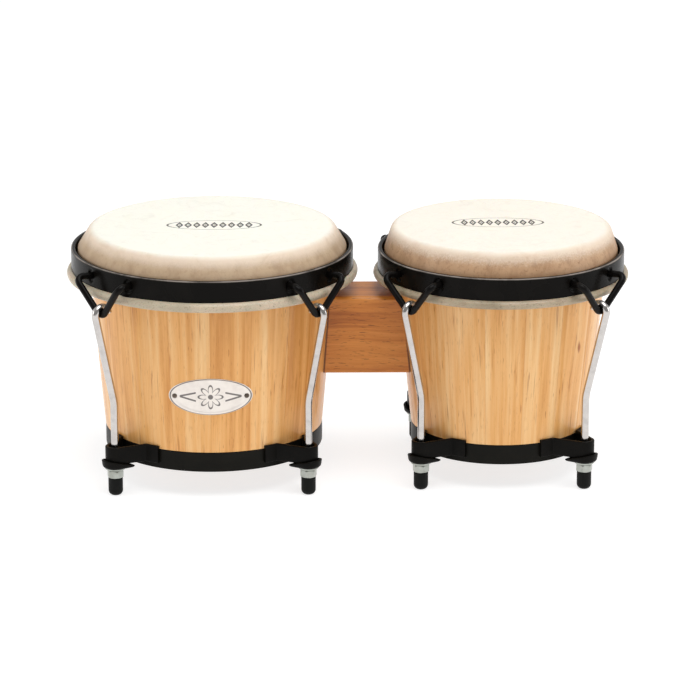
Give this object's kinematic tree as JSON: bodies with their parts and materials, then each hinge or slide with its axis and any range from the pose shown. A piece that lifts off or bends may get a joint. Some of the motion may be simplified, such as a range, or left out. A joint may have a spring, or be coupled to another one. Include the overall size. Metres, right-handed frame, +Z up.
{
  "type": "bongo drums",
  "caption": "Pair of stave-built bongo drums joined by a wooden block, with rawhide heads, black steel rims, hooked tuning rods, nuts and rubber feet.",
  "frame": {"origin": "centre of the footprint, level with the flat ends of the eight rubber feet", "axes": "+Z up along both drums' axes, +X from the large drum to the small drum, -Y towards the player's side, which carries the badge"},
  "size_m": [0.3894, 0.2016, 0.1735],
  "materials": {
    "stave_wood": "clear gloss lacquer over honey-coloured staves",
    "block_wood": "clear gloss lacquer over red-brown hardwood",
    "rawhide_top": "scraped rawhide, ivory, faintly mottled",
    "rawhide_side": "untreated rawhide, beige, translucent",
    "rawhide_roll": "pale grey-green lapped rawhide",
    "hoop_steel": "bare steel bar",
    "rim_black": "black powder coat, satin gloss",
    "ring_black": "black powder coat, satin",
    "bracket_black": "black powder coat, satin",
    "loop_black": "black powder coat, glossy",
    "rod_chrome": "polished chrome plate",
    "zinc": "bright zinc plate",
    "foot_rubber": "black moulded rubber",
    "badge_metal": "printed aluminium plate with a dark border",
    "pin_metal": "darkened brass pins"
  },
  "bodies": {
    "drum_frame": {"centre_block": "block_wood", "badge": "badge_metal", "badge_pins": "pin_metal", "large_shell": "stave_wood", "large_head": "rawhide_top", "large_bottom_ring": "ring_black", "large_rod_guides": "bracket_black", "large_nut_plates": "bracket_black", "large_nut_washers": "zinc", "large_block_screws": "zinc", "large_screw_washers": "zinc", "small_shell": "stave_wood", "small_head": "rawhide_top", "small_bottom_ring": "ring_black", "small_rod_guides": "bracket_black", "small_nut_plates": "bracket_black", "small_nut_washers": "zinc", "small_block_screws": "zinc", "small_screw_washers": "zinc"},
    "large_tuning": {"large_rim": "rim_black", "large_flesh_hoop": "hoop_steel", "large_skin_roll": "rawhide_roll", "large_head_skirt": "rawhide_side", "large_lug_loop_front_left": "loop_black", "large_hook_front_left": "rod_chrome", "large_foot_front_left": "foot_rubber", "large_lug_loop_front_right": "loop_black", "large_hook_front_right": "rod_chrome", "large_foot_front_right": "foot_rubber", "large_lug_loop_rear_right": "loop_black", "large_hook_rear_right": "rod_chrome", "large_foot_rear_right": "foot_rubber", "large_lug_loop_rear_left": "loop_black", "large_hook_rear_left": "rod_chrome", "large_foot_rear_left": "foot_rubber"},
    "large_nut_front_left_body": {"large_nut_front_left": "zinc"},
    "large_nut_front_right_body": {"large_nut_front_right": "zinc"},
    "large_nut_rear_right_body": {"large_nut_rear_right": "zinc"},
    "large_nut_rear_left_body": {"large_nut_rear_left": "zinc"},
    "small_tuning": {"small_rim": "rim_black", "small_flesh_hoop": "hoop_steel", "small_skin_roll": "rawhide_roll", "small_head_skirt": "rawhide_side", "small_lug_loop_front_left": "loop_black", "small_hook_front_left": "rod_chrome", "small_foot_front_left": "foot_rubber", "small_lug_loop_front_right": "loop_black", "small_hook_front_right": "rod_chrome", "small_foot_front_right": "foot_rubber", "small_lug_loop_rear_right": "loop_black", "small_hook_rear_right": "rod_chrome", "small_foot_rear_right": "foot_rubber", "small_lug_loop_rear_left": "loop_black", "small_hook_rear_left": "rod_chrome", "small_foot_rear_left": "foot_rubber"},
    "small_nut_front_left_body": {"small_nut_front_left": "zinc"},
    "small_nut_front_right_body": {"small_nut_front_right": "zinc"},
    "small_nut_rear_right_body": {"small_nut_rear_right": "zinc"},
    "small_nut_rear_left_body": {"small_nut_rear_left": "zinc"}
  },
  "joints": [
    {"name": "large_rim_tune", "type": "slide", "parent": "drum_frame", "child": "large_tuning", "axis": [0, 0, 1], "range_m": [-0.006, 0], "deforming": ["large_head_skirt"]},
    {"name": "large_nut_front_left_turn", "type": "hinge", "parent": "drum_frame", "child": "large_nut_front_left_body", "pos_m": [-0.16009, -0.06618, 0.0153], "axis": [0, 0, 1], "range_deg": [0, 2160]},
    {"name": "large_nut_front_right_turn", "type": "hinge", "parent": "drum_frame", "child": "large_nut_front_right_body", "pos_m": [-0.02772, -0.06618, 0.0153], "axis": [0, 0, 1], "range_deg": [0, 2160]},
    {"name": "large_nut_rear_right_turn", "type": "hinge", "parent": "drum_frame", "child": "large_nut_rear_right_body", "pos_m": [-0.02772, 0.06618, 0.0153], "axis": [0, 0, 1], "range_deg": [0, 2160]},
    {"name": "large_nut_rear_left_turn", "type": "hinge", "parent": "drum_frame", "child": "large_nut_rear_left_body", "pos_m": [-0.16009, 0.06618, 0.0153], "axis": [0, 0, 1], "range_deg": [0, 2160]},
    {"name": "small_rim_tune", "type": "slide", "parent": "drum_frame", "child": "small_tuning", "axis": [0, 0, 1], "range_m": [-0.006, 0], "deforming": ["small_head_skirt"]},
    {"name": "small_nut_front_left_turn", "type": "hinge", "parent": "drum_frame", "child": "small_nut_front_left_body", "pos_m": [0.04981, -0.05629, 0.0153], "axis": [0, 0, 1], "range_deg": [0, 2160]},
    {"name": "small_nut_front_right_turn", "type": "hinge", "parent": "drum_frame", "child": "small_nut_front_right_body", "pos_m": [0.16239, -0.05629, 0.0153], "axis": [0, 0, 1], "range_deg": [0, 2160]},
    {"name": "small_nut_rear_right_turn", "type": "hinge", "parent": "drum_frame", "child": "small_nut_rear_right_body", "pos_m": [0.16239, 0.05629, 0.0153], "axis": [0, 0, 1], "range_deg": [0, 2160]},
    {"name": "small_nut_rear_left_turn", "type": "hinge", "parent": "drum_frame", "child": "small_nut_rear_left_body", "pos_m": [0.04981, 0.05629, 0.0153], "axis": [0, 0, 1], "range_deg": [0, 2160]}
  ],
  "couplings": [
    {"joint": "large_nut_front_left_turn", "follows": "large_rim_tune", "rad_per_m": -6283.2},
    {"joint": "large_nut_front_right_turn", "follows": "large_rim_tune", "rad_per_m": -6283.2},
    {"joint": "large_nut_rear_right_turn", "follows": "large_rim_tune", "rad_per_m": -6283.2},
    {"joint": "large_nut_rear_left_turn", "follows": "large_rim_tune", "rad_per_m": -6283.2},
    {"joint": "small_nut_front_left_turn", "follows": "small_rim_tune", "rad_per_m": -6283.2},
    {"joint": "small_nut_front_right_turn", "follows": "small_rim_tune", "rad_per_m": -6283.2},
    {"joint": "small_nut_rear_right_turn", "follows": "small_rim_tune", "rad_per_m": -6283.2},
    {"joint": "small_nut_rear_left_turn", "follows": "small_rim_tune", "rad_per_m": -6283.2}
  ]
}
